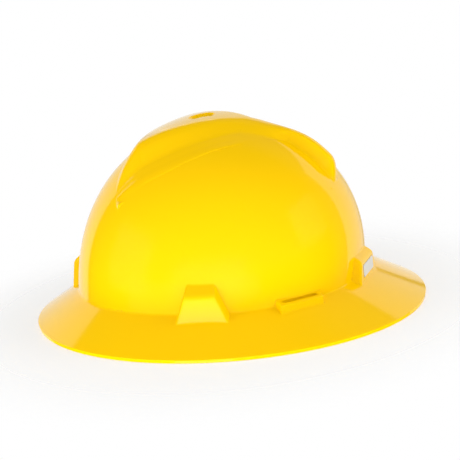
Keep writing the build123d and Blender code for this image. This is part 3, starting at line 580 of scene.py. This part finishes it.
def pocket_foot(place, form):
    """The part of a pocket that is under the brim."""
    face = form["depth"] - FOOT_FACE_GAP
    outline = [
        (-FOOT_ROOT, POCKET_FOOT_Z),
        (face, POCKET_FOOT_Z),
        (face, BRIM_RISE - FOOT_FACE_DROP),
        (-FOOT_ROOT, BRIM_RISE - FOOT_ROOT_DROP),
    ]
    return prism(place, outline, form["foot"][1] - FOOT_NARROWER)


def key_slot(place):
    face = SLOT_SKIN + KEY_SLOT_DEPTH
    outline = box_outline(SLOT_SKIN, face, POCKET_FOOT_Z - CUT_OVERRUN, KEY_SLOT_TOP)
    return prism(place, outline, KEY_SLOT_WIDTH)


def ledge_slot(place):
    face = SLOT_SKIN + LEDGE_SLOT_DEPTH
    outline = box_outline(SLOT_SKIN, face, LEDGE_SLOT_FLOOR, LEDGE_SLOT_FLOOR + LEDGE_SLOT_CUT)
    return prism(place, outline, LEDGE_SLOT_LENGTH)


def badge_seat(place):
    face = FRONT_BLOCK["depth"]
    foot = BADGE_SEAT["level"] - BADGE_SEAT["height"] / 2
    outline = box_outline(face - BADGE_SEAT["depth"], face + CUT_OVERRUN, foot, foot + BADGE_SEAT["height"])
    return prism(place, outline, BADGE_SEAT["width"])


def make_shell():
    shell = shell_skin()
    combine(shell, [pocket_foot(foot_place(angle), form) for angle, form in POCKETS], "UNION")
    slots = [key_slot(foot_place(angle)) for angle, form in POCKETS]
    slots += [ledge_slot(foot_place(angle)) for angle, form in LEDGES]
    slots.append(badge_seat(foot_place(0.0)))
    combine(shell, slots, "DIFFERENCE")
    shade_smooth(shell)
    shell.data.set_sharp_from_angle(angle=radians(SHARP_ANGLE))
    shell.data.materials.clear()
    shell.data.materials.append(MATERIALS["shell_yellow"])
    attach(shell, "root")
    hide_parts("shell")


# Soft pieces

def soft_copy(node, name, voxel, rounds):
    """A closed, evenly meshed copy of a CAD node with its edges softened."""
    source = frame["nodes"][node]
    mesh = source.data.copy()
    mesh.transform(source.matrix_world)
    mesh.materials.clear()
    obj = linked(name, mesh)
    remesh = obj.modifiers.new("even", "REMESH")
    remesh.mode = "VOXEL"
    remesh.voxel_size = voxel
    relax = obj.modifiers.new("soften", "SMOOTH")
    relax.factor = SOFTEN_FACTOR
    relax.iterations = rounds
    bake(obj)
    shade_smooth(obj)
    return obj


def press(obj, depth_at):
    """Moves points inwards along their normals by a depth in metres."""
    mesh = obj.data
    points = np.empty(len(mesh.vertices) * 3)
    normals = np.empty_like(points)
    mesh.vertices.foreach_get("co", points)
    mesh.vertex_normals.foreach_get("vector", normals)
    points = points.reshape(-1, 3)
    points -= normals.reshape(-1, 3) * depth_at(points)[:, None]
    mesh.vertices.foreach_set("co", points.ravel())
    mesh.update()


def bell(offset, width):
    """One at no offset, and almost nothing two widths away."""
    return np.exp(-(offset / width) ** 2)


def from_line(place, pitch):
    """Offset from the nearest of evenly spaced lines."""
    return (place + pitch / 2) % pitch - pitch / 2


def make_sweatband():
    """The forehead's pad, with a seam near each edge and grooves across it between the seams."""
    pad = soft_copy("sweatband", "sweatband_pad", SWEATBAND_VOXEL, SWEATBAND_ROUNDS)
    low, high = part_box("sweatband")
    middle = (low[2] + high[2]) / 2
    seam_level = (high[2] - low[2]) / 2 * SEAM_SHARE

    def channels(points):
        around = np.arctan2(points[:, 1] * BAND_STRETCH, points[:, 0] - BAND_CENTRE_X) * BAND_RADIUS
        level = np.abs(points[:, 2] - middle)
        seam = bell(level - seam_level, SEAM_WIDTH)
        groove = bell(from_line(around, GROOVE_PITCH), GROOVE_WIDTH)
        return CHANNEL_DEPTH * (seam + groove * (level < seam_level))

    press(pad, channels)
    pad.data.materials.append(MATERIALS["foam_cloth"])
    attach(pad, "root")
    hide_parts("sweatband")


def make_nape_pad():
    """The ratchet's pad, with lines down its face."""
    pad = soft_copy("nape_pad", "nape_cushion", CUSHION_VOXEL, CUSHION_ROUNDS)
    low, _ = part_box("nape_pad")

    def channels(points):
        line = bell(from_line(points[:, 1], CUSHION_LINE_PITCH), CUSHION_LINE_WIDTH)
        return CUSHION_LINE_DEPTH * line * (points[:, 0] > low[0] + CUSHION_BACK)

    press(pad, channels)
    pad.data.materials.append(MATERIALS["foam_cloth"])
    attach(pad, "ratchet")
    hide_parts("nape_pad")


def make_tail(name):
    """A softened copy of a size tail, which lies between the headband and its rack."""
    strap = soft_copy("tail_" + name, "tail_strap_" + name, TAIL_VOXEL, TAIL_ROUNDS)
    strap.data.materials.append(MATERIALS["band_plastic"])
    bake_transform(strap)
    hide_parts("tail_" + name)


# Materials

def linear(value):
    return value / 12.92 if value <= 0.04045 else ((value + 0.055) / 1.055) ** 2.4


def colour(red, green, blue):
    return (linear(red), linear(green), linear(blue), 1.0)


def plain(name, base, roughness, metallic=0.0):
    """A material without grain."""
    material = bpy.data.materials.new(name)
    material.use_nodes = True
    shader = material.node_tree.nodes["Principled BSDF"]
    shader.inputs["Base Color"].default_value = base
    shader.inputs["Roughness"].default_value = roughness
    shader.inputs["Metallic"].default_value = metallic
    return material


def grained(name, base, roughness, scale=1200, strength=0.2, distance=0.0002):
    """A material with a fine grain, whose height is a distance in metres."""
    material = plain(name, base, roughness)
    tree = material.node_tree
    coords = tree.nodes.new("ShaderNodeTexCoord")
    noise = tree.nodes.new("ShaderNodeTexNoise")
    noise.inputs["Scale"].default_value = scale
    noise.inputs["Detail"].default_value = 4.0
    bump = tree.nodes.new("ShaderNodeBump")
    bump.inputs["Strength"].default_value = strength
    bump.inputs["Distance"].default_value = distance
    tree.links.new(coords.outputs["Object"], noise.inputs["Vector"])
    tree.links.new(noise.outputs["Fac"], bump.inputs["Height"])
    tree.links.new(bump.outputs["Normal"], tree.nodes["Principled BSDF"].inputs["Normal"])
    return material


def make_materials():
    """The material of each slot in the record."""
    return {
        "shell_yellow": plain("hat_yellow", colour(1.0, 0.80, 0.0), 0.1),
        "plate_pale": plain("plate_pale", colour(0.86, 0.87, 0.86), 0.35),
        "webbing": grained("webbing", colour(0.34, 0.35, 0.37), 0.85, 900, 0.5, 0.0004),
        "band_plastic": grained("band_plastic", colour(0.20, 0.20, 0.21), 0.45),
        "key_plastic": grained("key_plastic", colour(0.20, 0.20, 0.21), 0.45),
        "foam_cloth": grained("foam_cloth", colour(0.42, 0.43, 0.45), 0.9, 700, 0.6, 0.0006),
        "stud_plastic": plain("stud_plastic", colour(0.15, 0.15, 0.16), 0.35),
        "rack_plastic": plain("rack_plastic", colour(0.74, 0.75, 0.76), 0.4),
        "cover_plastic": grained("cover_plastic", colour(0.17, 0.17, 0.18), 0.45),
        "spring_plastic": plain("spring_plastic", colour(0.76, 0.76, 0.77), 0.35),
        "grip_rubber": grained("grip_rubber", colour(0.10, 0.10, 0.10), 0.8, 900, 0.3, 0.0003),
        "screw_steel": plain("screw_steel", colour(0.62, 0.62, 0.64), 0.32, 1.0),
    }


def dress_nodes():
    """Gives each CAD node the material of its slot."""
    slots = {entry["node"]: entry["material_slot"] for entry in frame["record"]["subparts"]}
    for node, obj in frame["nodes"].items():
        obj.data.materials.clear()
        obj.data.materials.append(MATERIALS[slots[node]])


# Floor, light and camera

def math_node(tree, operation, *values):
    """Output of a Math node whose inputs are numbers or other nodes' outputs."""
    node = tree.nodes.new("ShaderNodeMath")
    node.operation = operation
    for socket, value in zip(node.inputs, values):
        if isinstance(value, bpy.types.NodeSocket):
            tree.links.new(value, socket)
        else:
            socket.default_value = value
    return node.outputs["Value"]


def ramp_node(tree, value, start, end, first, last):
    """Output that changes smoothly from the first to the last level between start and end."""
    node = tree.nodes.new("ShaderNodeMapRange")
    node.interpolation_type = "SMOOTHSTEP"
    node.inputs["From Min"].default_value = start
    node.inputs["From Max"].default_value = end
    node.inputs["To Min"].default_value = first
    node.inputs["To Max"].default_value = last
    tree.links.new(value, node.inputs["Value"])
    return node.outputs["Result"]


def stage_floor():
    """A white floor that keeps the part's shadow and fades into the white beyond it."""
    bpy.ops.mesh.primitive_circle_add(
        vertices=FLOOR_CORNERS, radius=4 * FLOOR_GONE, fill_type="NGON", location=(0, 0, -FLOOR_DROP)
    )
    floor = bpy.context.object
    floor.name = "floor"
    material = bpy.data.materials.new("floor_white")
    material.use_nodes = True
    tree = material.node_tree
    shader = tree.nodes["Principled BSDF"]
    shader.inputs["Base Color"].default_value = (0.97, 0.97, 0.97, 1)
    shader.inputs["Roughness"].default_value = 0.9
    shader.inputs["Specular IOR Level"].default_value = 0.0
    coords = tree.nodes.new("ShaderNodeTexCoord")
    length = tree.nodes.new("ShaderNodeVectorMath")
    length.operation = "LENGTH"
    tree.links.new(coords.outputs["Object"], length.inputs[0])
    fade = ramp_node(tree, length.outputs["Value"], FLOOR_CLEAR, FLOOR_GONE, FLOOR_SHARE, 0.0)
    side = tree.nodes.new("ShaderNodeNewGeometry")
    above = math_node(tree, "SUBTRACT", 1.0, side.outputs["Backfacing"])
    tree.links.new(math_node(tree, "MULTIPLY", fade, above), shader.inputs["Alpha"])
    floor.data.materials.append(material)
    floor.visible_glossy = False
    floor.visible_shadow = False


def make_world():
    """Soft light from above, dim in reflections, and plain white where the camera sees it."""
    world = bpy.data.worlds.new("studio")
    world.use_nodes = True
    tree = world.node_tree
    tree.nodes.clear()
    coords = tree.nodes.new("ShaderNodeTexCoord")
    toward = tree.nodes.new("ShaderNodeSeparateXYZ")
    tree.links.new(coords.outputs["Generated"], toward.inputs["Vector"])
    path = tree.nodes.new("ShaderNodeLightPath")

    def white():
        shader = tree.nodes.new("ShaderNodeBackground")
        shader.inputs["Color"].default_value = (1, 1, 1, 1)
        shader.inputs["Strength"].default_value = 1.0
        return shader

    def dimmed(share, strength):
        shader = white()
        tree.links.new(math_node(tree, "MULTIPLY", share, strength), shader.inputs["Strength"])
        return shader.outputs["Background"]

    def chosen(ray, otherwise, then):
        mix = tree.nodes.new("ShaderNodeMixShader")
        tree.links.new(path.outputs[ray], mix.inputs["Fac"])
        tree.links.new(otherwise, mix.inputs[1])
        tree.links.new(then, mix.inputs[2])
        return mix.outputs["Shader"]

    above = math_node(tree, "GREATER_THAN", toward.outputs["Z"], 0.0)
    wall = ramp_node(tree, toward.outputs["Y"], WALL_START, WALL_FULL, SKY_GLOSS / WALL_GLOSS, 1.0)
    unseen = chosen("Is Glossy Ray", dimmed(above, SKY_LIGHT), dimmed(wall, WALL_GLOSS))
    surface = chosen("Is Camera Ray", unseen, white().outputs["Background"])
    out = tree.nodes.new("ShaderNodeOutputWorld")
    tree.links.new(surface, out.inputs["Surface"])
    bpy.context.scene.world = world


def make_lamp(name, azimuth, elevation, radiance, reflected):
    """A soft rectangular lamp that spans two ranges of angles as seen from the part."""
    middle_azimuth = radians(sum(azimuth) / 2)
    middle_elevation = radians(sum(elevation) / 2)
    toward = Vector(rays(middle_azimuth, middle_elevation))
    wide = 2 * LAMP_DISTANCE * tan(radians((azimuth[1] - azimuth[0]) / 2)) * cos(middle_elevation)
    tall = 2 * LAMP_DISTANCE * tan(radians((elevation[1] - elevation[0]) / 2))
    data = bpy.data.lights.new(name, "AREA")
    data.shape = "RECTANGLE"
    data.size = wide
    data.size_y = tall
    data.energy = radiance * LAMP_POWER * wide * tall
    lamp = linked(name, data)
    lamp.location = LAMP_AIM + toward * LAMP_DISTANCE
    lamp.rotation_euler = toward.to_track_quat("Z", "Y").to_euler()
    lamp.visible_glossy = reflected
    lamp.visible_diffuse = not reflected


def make_camera():
    azimuth, elevation, roll = radians(CAMERA_AZIMUTH), radians(CAMERA_ELEVATION), radians(CAMERA_ROLL)
    back = Vector((sin(azimuth) * cos(elevation), -cos(azimuth) * cos(elevation), sin(elevation)))
    level_right = Vector((cos(azimuth), sin(azimuth), 0))
    level_up = back.cross(level_right)
    right = cos(roll) * level_right - sin(roll) * level_up
    up = sin(roll) * level_right + cos(roll) * level_up
    data = bpy.data.cameras.new("camera")
    data.sensor_width = SENSOR_WIDTH
    data.lens = CAMERA_FOCAL / PHOTO_WIDTH * SENSOR_WIDTH
    data.clip_end = FAR_LIMIT
    camera = linked("camera", data)
    place = (Vector(CAMERA_TARGET) + back * CAMERA_DISTANCE) * MM
    turn = Matrix((right, up, back)).transposed().to_4x4()
    camera.matrix_world = Matrix.Translation(place) @ turn
    bpy.context.scene.camera = camera


MATERIALS = make_materials()
dress_nodes()
make_shell()
make_sweatband()
make_nape_pad()
make_tail("left")
make_tail("right")
stage_floor()
make_world()
for name, lamp in LAMPS.items():
    make_lamp(name, *lamp)
make_camera()
bpy.context.scene.view_settings.view_transform = "Standard"
